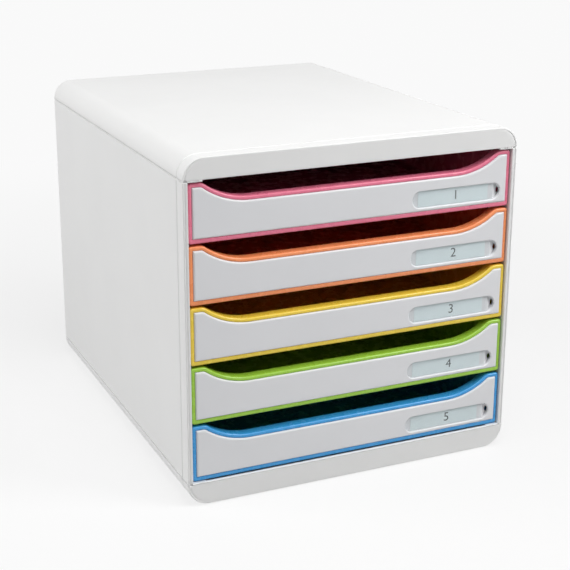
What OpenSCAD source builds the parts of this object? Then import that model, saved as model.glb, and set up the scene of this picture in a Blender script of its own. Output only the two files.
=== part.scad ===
// Desktop tower of five document drawers: a pressed-together moulded casing and five
// sliding trays, each with a white facing plate and a label pocket.
// Modelled in millimetres. +Z is up, the drawer fronts face -Y, and the origin is the
// centre of the footprint on the table. Inside the modules, y runs from the front plane.

/* [Casing] */
// Overall width, side to side
tower_w = 278; // [270:1:290]
// Overall depth, front to back
tower_d = 347; // [330:1:360]
// Height of the base with its feet, which is also the radius of its long edges
base_h = 18; // [16:0.5:20]
// Height of the top cover, which is also the radius of its long edges
cover_h = 16.4; // [15:0.2:18]
// Wall thickness of the casing mouldings
casing_wall = 2.6; // [2.4:0.1:2.8]
// Width of a side panel's front edge
front_edge_w = 4; // [3.8:0.1:4.6]
// Width of the flanges that a side panel turns in at the top and bottom
flange_w = 15.2; // [14.6:0.2:17]
// Thickness of those flanges
flange_t = 1.5; // [1.3:0.1:1.6]
// Rounding of the casing's front and rear arrises
arris_r = 1.8; // [1:0.2:2.2]

/* [Groove round the front] */
// Distance of the groove's centre line behind the front
groove_y = 13; // [11:0.5:16]
// Width of the groove
groove_w = 2.6; // [1.6:0.2:3]
// Depth of the groove
groove_depth = 1.1; // [0.6:0.1:1.3]

/* [Drawers] */
// Centre spacing of the drawers
drawer_pitch = 46.8; // [46:0.2:48]
// Height of a drawer's front
front_h = 44.8; // [44:0.2:45]
// Gap between a drawer's front and the casing at each side
side_gap = 0.6; // [0.4:0.1:0.8]
// Distance of the coloured frame behind the casing's front
front_recess = 2; // [1:0.2:2.6]
// Depth of the rolled lip, front to back
lip_d = 8.5; // [8.2:0.1:9.5]
// Wall thickness of the drawer mouldings
tray_wall = 1.8; // [1.6:0.1:2]
// How far a drawer slides before its stop
drawer_travel = 269.5; // [200:0.5:269.5]

/* [Finger dip] */
// Depth of the dip below the two ears
dip_depth = 13.2; // [10:0.2:15]
// Flat length of an ear
ear_flat = 8.6; // [7:0.2:9]
// Radius that turns the ear down into the dip
ear_r = 8; // [6:0.5:10]
// Radius that sweeps out into the floor of the dip
dip_r = 58; // [45:1:70]

/* [Facing plate] */
// Width of the coloured frame round the plate
rim_w = 3.2; // [2.8:0.1:3.6]
// Width of the coloured frame under the plate
rim_bottom_w = 4; // [3.6:0.1:4.4]
// How far the plate stands proud of the frame
plate_proud = 0.8; // [0.4:0.1:1]
// Rounding of the plate's edge
plate_edge_r = 1.2; // [0.8:0.1:1.3]

/* [Label pocket] */
// Length of the pill-shaped pocket
label_l = 76; // [70:1:78]
// Height of the pocket
label_h = 13; // [12:0.5:14]
// Distance of the pocket's centre from the drawer's centre line
label_x = 87.6; // [84:0.2:88]
// Height of the pocket's centre above the drawer's bottom edge
label_z = 13.4; // [13:0.1:14.5]
// Length of the finger scoop that the window leaves free
scoop_l = 6; // [5:0.5:7]

/* [Hidden] */
$fn = 96;
DRAWERS = 5;
COLOURS = ["#e8638a", "#f0894f", "#f2c83c", "#9dcf3f", "#3a8fd8"];
CORNERS = ["front_left", "front_right", "rear_left", "rear_right"];

// Casing
half_w = tower_w / 2;
end_gap = 1.3;                                        // above and below the stack of drawers
side_h = DRAWERS * drawer_pitch + 2 * end_gap;        // height of a side panel
cover_z = base_h + side_h;                            // joint plane under the top cover
panel_joint = 0.25;                                   // shadow gap above and below a side panel
panel_chamfer = 0.9;                                  // light-catching edge beside that gap
front_edge_d = 10;                                    // depth of the thick front edge
return_w = 8;                                         // rear return that holds the back panel
web_in = half_w - casing_wall;                        // inner face of a side panel
back_t = 2.4;
back_y = tower_d - casing_wall - 0.2 - back_t;        // front face of the back panel
rear_stop_y = back_y - 0.2;                           // ends of flanges and ribs
base_lip_h = 1.2;                                     // base's front wall stands up between the flanges
rib_t = 1.6;
tongue_l = 14;
tongue_t = 3;
tongue_out = web_in - 6.4;                            // outer and inner faces of the snap tongues
tongue_in = tongue_out - tongue_t;
tongue_ys = [for (k = [0:3]) 50 + 80 * k];
fit = 0.2;                                            // clearance of tongues and seats

// Feet
foot_d = 16;
foot_h = 2.8;
foot_proud = 0.8;
foot_x = half_w - 24;
foot_y = 24;
shell_h = base_h - foot_proud;                        // height of the base without its feet

// Drawer front, seen from the front, with its bottom edge at z = 0
front_w = tower_w - 2 * (front_edge_w + side_gap);
corner_r = 2.2;
corner_n = 3;                                         // steps of the outline's arcs
ear_n = 5;
dip_n = 10;
ear_x = front_w / 2 - ear_flat;                       // centres of the ear's turning arcs
dip_angle = acos(1 - dip_depth / (ear_r + dip_r));    // slope where the two arcs meet
dip_x = ear_x - (ear_r + dip_r) * sin(dip_angle);     // ends of the dip's straight floor
dip_z = front_h - dip_depth;
first_z = base_h + flange_t + 0.4;                    // bottom edge of the lowest drawer
frame_y = front_recess;
roll_r = 1.4;                                         // rolled front edge of the coloured frame
rim_in_r = 0.8;                                       // its rounded edge towards the plate
seat_y = frame_y + roll_r;                            // bottom of the pocket for the plate
front_back_y = seat_y + tray_wall;                    // rear of the frame's front wall
lip_y = frame_y + lip_d;                              // rear of the lip
inner_wall_y = lip_y - tray_wall;                     // front of the tray's own front wall
web_xs = [-96, -48, 0, 40];                           // webs between the two front walls

// Tray
tray_x = web_in - 9;                                  // outer face of a side wall at its top
tray_end = tower_d - 11;                              // outer face of the rear wall
draft = 0.6;
floor_z = 2.4;
floor_t = 1.8;
bottom_r = 3;                                         // round between floor and walls
slide_z = 38.6;                                       // underside of the slide flange
slide_t = 1.6;
slide_x = half_w - front_edge_w - 0.4;                // outer edge of the slide flange
slide_end = tray_end + 2;
wall_top = slide_z + slide_t;

// Runners on the side panels, for a drawer with its bottom edge at z = 0
runner_w = 8;
runner_t = 1.8;
guide_w = 6;
guide_t = 1.4;
guide_z = wall_top + 0.8;
runner_start = lip_y + 0.5;
lug_y = 14;
lug_l = 6;
lug_x = tray_x + 0.8;
tab_x = tray_x + 0.2;
tab_w = 2.3;
tab_h = 2.7;
tab_y = lug_y + lug_l + drawer_travel + 0.5;          // front face of the stop tab, drawer shut

// Facing plate and label
plate_y = frame_y - plate_proud;
plate_inset = rim_w + 0.1;
rim_extra = rim_bottom_w - rim_w;
peg_d = 3;
peg_l = 3;
pegs = [[-116, 12], [-116, 31], [-70, 16], [-24, 16], [22, 16], [116, 31]];
window_sink = 0.4;
window_t = 1.2;
card_t = 0.3;
card_h = 12.2;
card_start = 5.6;                                     // from the pocket's left end to the card
card_gap = 4;                                         // from the card to the window's right end
window_y = plate_y + window_sink;
card_y = window_y + window_t;
pocket_end = label_l / 2;
window_end = pocket_end - scoop_l;                    // straight right end of the window
boss_rim = 2;                                         // wall round the label pocket
boss_y = seat_y + 2.4;
scoop_depth = 3.6;
card_left = card_start - pocket_end;
card_right = window_end - card_gap;
slit_w = 2;                                           // crescent slit at the scoop's end
slit_r = 10;                                          // radius of the slit's inner edge

// ---------------------------------------------------------------- helpers

// Points of an arc, from angle a0 to a1 in n steps
function arc(x, y, r, a0, a1, n) =
    [for (k = [0:n]) let (a = a0 + (a1 - a0) * k / n) [x + r * cos(a), y + r * sin(a)]];

// Height of drawer k's bottom edge; drawer 1 is the top one
function drawer_z(k) = first_z + (DRAWERS - k) * drawer_pitch;

// Moves a module's own front plane to the row frame's -Y side
module in_tower() translate([0, -tower_d / 2, 0]) children();

// Extrudes an XZ outline from y0 to y1
module along_y(y0, y1) translate([0, y1, 0]) rotate([90, 0, 0]) linear_extrude(y1 - y0) children();

// Extrudes a YZ outline from x0 to x1
module along_x(x0, x1) translate([x0, 0, 0]) rotate([90, 0, 90]) linear_extrude(x1 - x0) children();

// The children and their mirror image in the tower's middle plane
module both_sides() {
    children();
    mirror([1, 0, 0]) children();
}

// Box between two corners
module block(a, b) translate(a) cube(b - a);

// Triangles that fill a convex outline of n points
function fan(n) = [for (j = [1:n - 2]) [0, j, j + 1]];

// Skin through rings of equally many points. The triangles in cap close both ends; without
// them the rings are convex.
module loft(rings, cap = undef, flip = false) {
    n = len(rings[0]);
    end = (len(rings) - 1) * n;
    sides = [
        for (i = [0:n:end - n], j = [0:n - 1])
            let (a = i + j, b = i + (j + 1) % n) each [[a, b, b + n], [a, b + n, a + n]]
    ];
    ends = [for (t = is_undef(cap) ? fan(n) : cap) each [[t[2], t[1], t[0]], [for (j = t) end + j]]];
    faces = concat(sides, ends);
    polyhedron([for (r = rings) each r], flip ? [for (f = faces) [f[2], f[1], f[0]]] : faces);
}

// An XZ outline set up at depth y
function at_y(outline, y) = [for (p = outline) [p[0], y, p[1]]];

// Pill of overall length l and height h, centred
module pill(l, h) {
    square([l - h, h], center = true);
    for (s = [-1, 1]) translate([s * (l - h) / 2, 0]) circle(h / 2);
}

// ---------------------------------------------------------------- outlines

// Outline of a cover of height h, with its long edges rounded, standing on z = 0 and inset by d
function cover_outline(h, d) = concat(
    arc(half_w - h, 0, h - d, 0, 90, 12),
    arc(h - half_w, 0, h - d, 90, 180, 12)
);

// Front outline of a drawer, inset by d at the sides and top and by b at the bottom.
// Inset arcs keep their centres, so every inset line runs parallel to the edge.
function front_outline(d, b) =
    let (x = front_w / 2 - d, top = front_h - d, r = max(corner_r - d, 0.4))
    concat(
        arc(r - x, b + r, r, 180, 270, corner_n),
        arc(x - r, b + r, r, 270, 360, corner_n),
        arc(x - r, top - r, r, 0, 90, corner_n),
        arc(ear_x, front_h - ear_r, ear_r - d, 90, 90 + dip_angle, ear_n),
        arc(dip_x, dip_z + dip_r, dip_r + d, dip_angle - 90, -90, dip_n),
        arc(-dip_x, dip_z + dip_r, dip_r + d, -90, -90 - dip_angle, dip_n),
        arc(-ear_x, front_h - ear_r, ear_r - d, 90 - dip_angle, 90, ear_n),
        arc(r - x, top - r, r, 90, 180, corner_n)
    );

// Triangles that fill a front outline. It is hollow at the dip, so it is filled from three
// of its points: the dip's left end for the bottom edge, and one low on each side.
function front_cap() =
    let (
        right = 2 * corner_n + 1,
        dip_left = 3 * (corner_n + 1) + ear_n + dip_n + 2,
        n = dip_left + dip_n + ear_n + corner_n + 3
    )
    concat(
        [for (j = [0:right - 1]) [dip_left, j, j + 1]],
        [for (j = [right + 1:dip_left - 1]) [right, j, j + 1]],
        [for (j = [dip_left:n - 2]) [0, j, j + 1]]
    );

// Horizontal ring of the tray: half width x, from y0 to y1, rounded at the rear
function tray_ring(x, y0, y1, r, z) = [
    for (p = concat(
        arc(x - 0.4, y0 + 0.4, 0.4, 270, 360, 1),
        arc(x - r, y1 - r, r, 0, 90, 5),
        arc(r - x, y1 - r, r, 90, 180, 5),
        arc(0.4 - x, y0 + 0.4, 0.4, 180, 270, 1)
    )) [p[0], p[1], z]
];

// Rings of a tray-shaped solid that is rounded and drawn in towards its bottom
function tray_rings(inset, y0, z0, z1, r) = concat(
    [for (a = [0, 30, 60]) let (d = inset + draft + bottom_r * (1 - sin(a)))
        tray_ring(tray_x - d, y0, tray_end - d, r, z0 + bottom_r * (1 - cos(a)))],
    [tray_ring(tray_x - inset - draft, y0, tray_end - inset - draft, r, z0 + bottom_r)],
    [tray_ring(tray_x - inset, y0, tray_end - inset, r, z1)]
);

// ---------------------------------------------------------------- casing

// Outer skin of a cover: rounded front and rear arrises and the groove behind the front
module cover_skin(h) {
    steps = [for (a = [0:30:90]) arris_r * [1 - sin(a), 1 - cos(a)]];
    loft(concat(
        [for (s = steps) at_y(cover_outline(h, s[0]), s[1])],
        [
            at_y(cover_outline(h, 0), groove_y - groove_w / 2),
            at_y(cover_outline(h, groove_depth), groove_y),
            at_y(cover_outline(h, 0), groove_y + groove_w / 2)
        ],
        [for (k = [3:-1:0]) at_y(cover_outline(h, steps[k][0]), tower_d - steps[k][1])]
    ));
}

// Ribbed shell of height h, open below, with the snap tongues that enter the side panels
module cover_shell(h) {
    difference() {
        cover_skin(h);
        along_y(casing_wall, tower_d - casing_wall)
            difference() {
                polygon(cover_outline(h, casing_wall));
                translate([-half_w, -1]) square([tower_w, 1]);
            }
        block([-web_in, casing_wall, -1], [web_in, tower_d - casing_wall, 1]);
    }
    intersection() {
        along_y(casing_wall / 2, rear_stop_y) polygon(cover_outline(h, casing_wall / 2));
        union() {
            for (y = [tower_d / 5:tower_d / 5:tower_d - 1])
                block([-half_w, y - rib_t / 2, 0], [half_w, y + rib_t / 2, h]);
            for (x = [-75, 0, 75]) block([x - rib_t / 2, 0, 5], [x + rib_t / 2, tower_d, h]);
            both_sides() for (y = tongue_ys)
                block([tongue_in, y, -0.5], [tongue_out, y + tongue_l, h]);
        }
    }
    both_sides() for (y = tongue_ys)
        block([tongue_in, y, -flange_t - 1], [tongue_out, y + tongue_l, 1]);
}

module top_cover() {
    color("#f4f4f3") in_tower() translate([0, 0, cover_z]) cover_shell(cover_h);
}

// The base is the same shell turned over, with foot pockets and a lip between the flanges
module base() {
    color("#eeeeed") in_tower() difference() {
        union() {
            translate([0, 0, base_h]) mirror([0, 0, 1]) cover_shell(shell_h);
            block([fit + flange_w - half_w, 0, base_h - 3],
                [half_w - flange_w - fit, casing_wall, base_h + base_lip_h]);
            both_sides() for (y = [foot_y, tower_d - foot_y])
                translate([foot_x, y, foot_proud + 1]) cylinder(h = foot_h + 0.8, d = foot_d + 6);
        }
        both_sides() for (y = [foot_y, tower_d - foot_y])
            translate([foot_x, y, -1]) cylinder(h = foot_h + 1, d = foot_d + fit);
    }
}

// Plan of the left wall: thick front edge, groove, and the return that holds the back panel
module wall_plan() {
    r = arris_r;
    polygon(concat(
        arc(r - half_w, r, r, 270, 180, 4),
        [
            [-half_w, groove_y - groove_w / 2],
            [groove_depth - half_w, groove_y],
            [-half_w, groove_y + groove_w / 2]
        ],
        arc(r - half_w, tower_d - r, r, 180, 90, 4),
        [
            [return_w - half_w, tower_d],
            [return_w - half_w, tower_d - casing_wall],
            [-web_in, tower_d - casing_wall],
            [-web_in, front_edge_d + 2],
            [front_edge_w - half_w, front_edge_d],
            [front_edge_w - half_w, 0.4],
            [front_edge_w - half_w - 0.4, 0]
        ]
    ));
}

// Plan of a runner rib of width w: square at the back, drawn in at its front end
module rib_plan(w, y0, lead) {
    polygon([
        [-web_in - 1, y0],
        [lead / 2 - web_in, y0],
        [w - web_in, y0 + lead],
        [w - web_in, rear_stop_y - 6],
        [w - web_in - 4, rear_stop_y - 2],
        [-web_in - 1, rear_stop_y - 2]
    ]);
}

// Runner under a drawer's slide flange, guide over it and the lug that stops the drawer
module runner_pair() {
    translate([0, 0, slide_z - 0.3 - runner_t])
        linear_extrude(runner_t) rib_plan(runner_w, runner_start, 8);
    translate([0, 0, guide_z]) linear_extrude(guide_t) rib_plan(guide_w, lug_y, 6);
    block([-web_in - 1, lug_y, guide_z], [-lug_x, lug_y + lug_l, guide_z + guide_t]);
    for (y = [60:65:320])
        along_y(y, y + rib_t)
            polygon([
                [-web_in - 1, slide_z - runner_t],
                [runner_w - 2 - web_in, slide_z - runner_t],
                [-web_in, slide_z - runner_t - 7],
                [-web_in - 1, slide_z - runner_t - 7]
            ]);
}

// Left side panel: C-section wall with flanges, runners and slots for the snap tongues
module side_panel() {
    difference() {
        translate([0, 0, base_h + panel_joint]) linear_extrude(side_h - 2 * panel_joint) wall_plan();
        for (z = [base_h + panel_joint, cover_z - panel_joint])
            translate([-half_w, -1, z]) rotate([-90, 0, 0]) rotate(45)
                translate([-panel_chamfer * 0.7071, -panel_chamfer * 0.7071])
                    linear_extrude(tower_d + 2) square(panel_chamfer * 1.4142);
    }
    for (z = [base_h, cover_z - flange_t])
        difference() {
            block([-web_in - 1, 0, z], [flange_w - half_w, rear_stop_y, z + flange_t]);
            for (y = tongue_ys)
                block([-tongue_out - fit, y - fit, z - 1],
                    [fit - tongue_in, y + tongue_l + fit, z + flange_t + 1]);
        }
    for (k = [1:DRAWERS]) translate([0, 0, drawer_z(k)]) runner_pair();
}

module left_side_panel() {
    color("#f1f1f0") in_tower() side_panel();
}

module right_side_panel() {
    color("#f1f1f0") in_tower() mirror([1, 0, 0]) side_panel();
}

// Flat rear wall that runs on into the cover and the base, with a sunk field outside and
// stiffening ribs inside
module back_panel() {
    x = web_in - fit;
    color("#e6e6e5") in_tower() difference() {
        union() {
            block([-x, back_y, base_h], [x, back_y + back_t, cover_z]);
            block([6 - x, back_y, base_h - 6], [x - 6, back_y + back_t, cover_z + 6]);
            for (u = [-96:48:96])
                block([u - rib_t / 2, back_y - 2, base_h + 6], [u + rib_t / 2, back_y + 1, cover_z - 6]);
        }
        block([24 - x, back_y + back_t - 0.8, base_h + 18], [x - 24, tower_d, cover_z - 18]);
    }
}

// Rubber pad in the base's pocket, with its edge rounded where it meets the table
module foot(x, y) {
    r = foot_d / 2;
    color("#5b5d60") in_tower() translate([x, y, 0]) rotate_extrude() difference() {
        square([r, foot_h]);
        translate([r - 0.6, 0]) difference() {
            square(0.6);
            translate([0, 0.6]) circle(0.6);
        }
    }
}

// ---------------------------------------------------------------- drawers

// Seat for the facing plate, with a rounded mouth that makes the coloured frame a bead
module plate_seat() {
    loft(concat(
        [at_y(front_outline(rim_w - rim_in_r, rim_bottom_w - rim_in_r), 0)],
        [for (a = [0:30:90]) let (e = rim_in_r * (1 - sin(a)))
            at_y(front_outline(rim_w - e, rim_bottom_w - e), frame_y + rim_in_r * (1 - cos(a)))],
        [at_y(front_outline(rim_w, rim_bottom_w), seat_y)]
    ), front_cap());
}

// Coloured front: rolled frame and lip, seat for the plate and the tray's own front wall,
// with a hollow between that is open below
module tray_front() {
    difference() {
        loft(concat(
            [for (a = [0:30:90]) let (d = roll_r * (1 - sin(a)))
                at_y(front_outline(d, d), frame_y + roll_r * (1 - cos(a)))],
            [at_y(front_outline(0, 0), lip_y - 0.6)],
            [at_y(front_outline(0.4, 0.4), lip_y)]
        ), front_cap());
        plate_seat();
        difference() {
            along_y(front_back_y, inner_wall_y) polygon(front_outline(tray_wall, -3));
            for (x = web_xs) block([x - rib_t / 2, 0, -5], [x + rib_t / 2, lip_y, front_h]);
        }
        along_y(0, inner_wall_y - 1) translate([label_x, label_z])
            pill(label_l + 2 * boss_rim + 2 * fit, label_h + 2 * boss_rim + 2 * fit);
        for (p = pegs) along_y(0, inner_wall_y - 1) translate(p) circle(d = peg_d + 2 * fit);
    }
}

// Floor, three walls and the slide flange
module tray_box() {
    y0 = inner_wall_y + 0.9;
    difference() {
        union() {
            loft(tray_rings(0, y0, floor_z, wall_top, 6.8), flip = true);
            translate([0, 0, slide_z]) linear_extrude(slide_t) difference() {
                translate([-slide_x, y0]) square([2 * slide_x, slide_end - y0]);
                both_sides() translate([slide_x, slide_end]) rotate(45) square(8, center = true);
            }
        }
        loft(tray_rings(tray_wall, y0 - 2, floor_z + floor_t, wall_top + 1, 5), flip = true);
    }
    for (x = [-84, -42, 0, 42, 84]) block([x - 0.7, y0, 0.6], [x + 0.7, tray_end - 12, floor_z + 1]);
    for (y = [90, 170, 250]) block([-110, y - 0.7, 0.6], [110, y + 0.7, floor_z + 1]);
}

// Ramped tab near the rear of each slide flange: it meets the side panel's lug at full travel
module stop_tabs() {
    both_sides() along_x(tab_x, tab_x + tab_w) polygon([
        [tab_y, wall_top - 0.5],
        [tab_y, wall_top + tab_h],
        [tab_y + 2, wall_top + tab_h],
        [tab_y + 9, wall_top - 0.5]
    ]);
}

module drawer_tray(k) {
    color(COLOURS[k - 1]) in_tower() translate([0, 0, drawer_z(k)]) {
        tray_front();
        tray_box();
        stop_tabs();
    }
}

// White plate with a rounded edge, the label pocket in its boss, and pegs into the frame
module front_plate(k) {
    color("#f3f3f4") in_tower() translate([0, 0, drawer_z(k)]) {
        difference() {
            union() {
                loft([
                    for (a = [0:30:90]) let (d = plate_inset + plate_edge_r * (1 - sin(a)))
                        at_y(front_outline(d, d + rim_extra), plate_y + plate_edge_r * (1 - cos(a))),
                    at_y(front_outline(plate_inset, plate_inset + rim_extra), seat_y)
                ], front_cap());
                along_y(seat_y - 0.5, boss_y) translate([label_x, label_z])
                    pill(label_l + 2 * boss_rim, label_h + 2 * boss_rim);
            }
            translate([label_x, 0, label_z]) label_pocket();
        }
        for (p = pegs) along_y(seat_y - 0.5, seat_y + peg_l) translate(p) circle(d = peg_d);
    }
}

// Hollow of the label pocket: seat of the window, seat of the card, the sloping scoop, and a
// crescent slit at its end that opens on the coloured moulding
module label_pocket() {
    along_y(0, card_y) pill(label_l, label_h);
    block([card_left - fit, 0, -card_h / 2 - fit / 2],
        [card_right + fit, card_y + card_t, card_h / 2 + fit / 2]);
    along_y(0, boss_y + 1) difference() {
        translate([pocket_end - label_h / 2, 0]) circle(label_h / 2);
        translate([pocket_end - slit_w - slit_r, 0]) circle(slit_r);
    }
    intersection() {
        along_y(0, boss_y) pill(label_l, label_h);
        translate([0, 0, -label_h]) linear_extrude(2 * label_h) polygon([
            [window_end, 0],
            [window_end, card_y + 0.1],
            [pocket_end - 1, plate_y + scoop_depth],
            [pocket_end + 1, plate_y + scoop_depth],
            [pocket_end + 1, 0]
        ]);
    }
}

// Clear window: the pocket's outline, cut straight where the scoop begins
module label_window(k) {
    color("#cfe3e6", 0.5) in_tower() translate([label_x, 0, drawer_z(k) + label_z])
        along_y(window_y, card_y) intersection() {
            pill(label_l - fit, label_h - fit);
            translate([-pocket_end, -label_h]) square([pocket_end + window_end, 2 * label_h]);
        }
}

module label_card(k) {
    color("#e9f1f1") in_tower() translate([label_x, 0, drawer_z(k) + label_z])
        block([card_left, card_y, -card_h / 2], [card_right, card_y + card_t, card_h / 2]);
}

// ---------------------------------------------------------------- nodes

top_cover();
base();
left_side_panel();
right_side_panel();
back_panel();
foot(-foot_x, foot_y);  // foot_front_left
foot(foot_x, foot_y);  // foot_front_right
foot(-foot_x, tower_d - foot_y);  // foot_rear_left
foot(foot_x, tower_d - foot_y);  // foot_rear_right
drawer_tray(1);  // drawer_tray_1
drawer_tray(2);  // drawer_tray_2
drawer_tray(3);  // drawer_tray_3
drawer_tray(4);  // drawer_tray_4
drawer_tray(5);  // drawer_tray_5
front_plate(1);  // front_plate_1
front_plate(2);  // front_plate_2
front_plate(3);  // front_plate_3
front_plate(4);  // front_plate_4
front_plate(5);  // front_plate_5
label_window(1);  // label_window_1
label_window(2);  // label_window_2
label_window(3);  // label_window_3
label_window(4);  // label_window_4
label_window(5);  // label_window_5
label_card(1);  // label_card_1
label_card(2);  // label_card_2
label_card(3);  // label_card_3
label_card(4);  // label_card_4
label_card(5);  // label_card_5
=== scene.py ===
"""Looks of a desktop tower of five document drawers, on the frame that its solids share.

Lengths in the sub-assemblies are millimetres, with y running back from the plane of the
casing's front edges and z up from the table; a finished mesh is in metres in the row frame.
"""

from __future__ import annotations

import logging
import math
import sys
from dataclasses import dataclass
from enum import Enum

import bmesh
import bpy
import numpy as np
from mathutils import Matrix, Vector
from mathutils.geometry import tessellate_polygon


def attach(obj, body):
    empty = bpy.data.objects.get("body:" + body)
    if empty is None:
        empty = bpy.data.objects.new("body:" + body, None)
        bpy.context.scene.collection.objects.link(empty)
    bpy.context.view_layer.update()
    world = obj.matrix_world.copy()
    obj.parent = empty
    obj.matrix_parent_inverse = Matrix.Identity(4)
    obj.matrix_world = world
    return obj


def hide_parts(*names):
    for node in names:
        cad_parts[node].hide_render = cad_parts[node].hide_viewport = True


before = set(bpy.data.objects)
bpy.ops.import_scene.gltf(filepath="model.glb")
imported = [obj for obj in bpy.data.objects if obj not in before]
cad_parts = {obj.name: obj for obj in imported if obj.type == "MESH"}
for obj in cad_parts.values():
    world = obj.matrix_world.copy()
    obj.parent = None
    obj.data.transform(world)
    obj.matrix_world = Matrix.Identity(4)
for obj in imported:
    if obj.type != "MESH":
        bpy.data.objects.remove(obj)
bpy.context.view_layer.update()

log = logging.getLogger("drawer_tower")
X, Y, Z = range(3)
MM = 0.001
WELD_M, SLIVER_M = 2e-6, 1e-7
CREASE, SOFT_ANGLE = math.radians(30), math.radians(38)

Point = tuple[float, float, float]
Colour = tuple[float, float, float]
Socket = bpy.types.NodeSocket
Material = bpy.types.Material
Piece = bpy.types.Object


# ------------------------ sizes


@dataclass(frozen=True)
class TowerSizes:
    """Sizes that several sub-assemblies share, in millimetres."""

    width: float = 278.0
    depth: float = 347.0
    height: float = 271.0
    base_h: float = 18.0
    cover_h: float = 16.4
    foot_proud: float = 0.8
    wall: float = 2.6
    front_edge_w: float = 4.0
    arris_r: float = 1.8
    front_r: float = 1.0
    cove_w: float = 2.5
    cove_depth: float = 0.6
    cove_step: float = 0.6
    groove_y: float = 13.0
    groove_w: float = 2.6
    groove_depth: float = 1.2
    flange_w: float = 15.2
    flange_t: float = 1.5
    tongue_in: float = 6.4
    tongue_t: float = 3.0
    tongue_l: float = 14.0
    tongue_y: float = 50.0
    tongue_pitch: float = 80.0
    tongues: int = 4
    rear_stop: float = 341.6
    drawers: int = 5
    pitch: float = 46.8
    first_z: float = 19.9
    slide_z: float = 38.6
    clearance: float = 0.2

    @property
    def half_w(self) -> float:
        """Half of the width."""
        return self.width / 2

    @property
    def cover_z(self) -> float:
        """Height of the joint under the top cover."""
        return self.height - self.cover_h

    @property
    def web(self) -> float:
        """Distance of a side panel's inner face from the middle plane."""
        return self.half_w - self.wall

    @property
    def tongue_x(self) -> float:
        """Distance of a snap tongue's outer face from the middle plane."""
        return self.web - self.tongue_in

    def tongue_ys(self) -> np.ndarray:
        """Depths at which the snap tongues start."""
        return self.tongue_y + self.tongue_pitch * np.arange(self.tongues)

    def drawer_z(self, number: int) -> float:
        """Height of a drawer's bottom edge; number 1 is the top drawer."""
        return self.first_z + (self.drawers - number) * self.pitch

    def cove_profile(self) -> np.ndarray:
        """Inset from the outside and depth of the casing front's cove, from its inner end.

        The depth grows with the cube of the way out. A slope leads on to the front arris.

        Returns:
            One row of inset and depth for each step.
        """
        way = np.linspace(0, 1, 7)
        inset = self.front_r + self.cove_w - (self.cove_w - self.cove_step) * way
        return np.stack([inset, self.cove_depth * way**3], axis=1)

    def groove_profile(self) -> np.ndarray:
        """Inset and depth of the groove's bottom: the inset is half a cosine wave each way.

        Returns:
            One row of inset and depth for each step.
        """
        turn = np.linspace(-1, 1, 13)
        inset = self.groove_depth * (1 + np.cos(np.pi * turn)) / 2
        return np.stack([inset, self.groove_y + turn * self.groove_w / 2], axis=1)


TOWER = TowerSizes()


# ------------------------ outlines


def arc(cx: float, cz: float, radius: float, start: float, end: float, steps: int) -> np.ndarray:
    """Points of an arc: centre plus radius times (cos a, sin a), with a evenly spaced.

    Args:
        cx: The centre's first coordinate.
        cz: The centre's second coordinate.
        radius: The radius.
        start: First angle in degrees.
        end: Last angle in degrees.
        steps: Number of steps between the two.

    Returns:
        The points, one row each.
    """
    a = np.radians(np.linspace(start, end, steps + 1))
    return np.stack([cx + radius * np.cos(a), cz + radius * np.sin(a)], axis=1)


def rounding(radius: float, steps: int = 8) -> np.ndarray:
    """Inset and depth along a quarter round: radius times (1 - sin a, 1 - cos a)."""
    a = np.radians(np.linspace(0, 90, steps + 1))
    return radius * np.stack([1 - np.sin(a), 1 - np.cos(a)], axis=1)


def at_y(outline: np.ndarray, y: float | np.ndarray) -> np.ndarray:
    """An XZ outline set up at depth y, which may change along it."""
    return np.insert(outline, Y, y, axis=1)


def at_z(outline: np.ndarray, z: float) -> np.ndarray:
    """An XY outline set up at height z."""
    return np.insert(outline, Z, z, axis=1)


def rounded_rectangle(x: float, y0: float, y1: float, r: float) -> np.ndarray:
    """Closed outline with half width x from y0 to y1, its corners quarter rounds of radius r."""
    corners = ((x - r, y0 + r, 270), (x - r, y1 - r, 0), (r - x, y1 - r, 90), (r - x, y0 + r, 180))
    return np.concatenate([arc(cx, cy, r, start, start + 90, 6) for cx, cy, start in corners])


def pill(length: float, height: float, steps: int = 18) -> np.ndarray:
    """Closed XZ outline of a pill, centred: a half round at each end."""
    r, x = height / 2, (length - height) / 2
    return np.concatenate([arc(x, 0, r, -90, 90, steps), arc(-x, 0, r, 90, 270, steps)])


# ------------------------ mesh building


def put(name: str, data: bpy.types.ID) -> Piece:
    """Makes an object of this data and links it to the scene.

    Args:
        name: The object's name.
        data: Its mesh, curve, lamp or camera.

    Returns:
        The object, at the origin.
    """
    piece = bpy.data.objects.new(name, data)
    bpy.context.scene.collection.objects.link(piece)
    return piece


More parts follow.
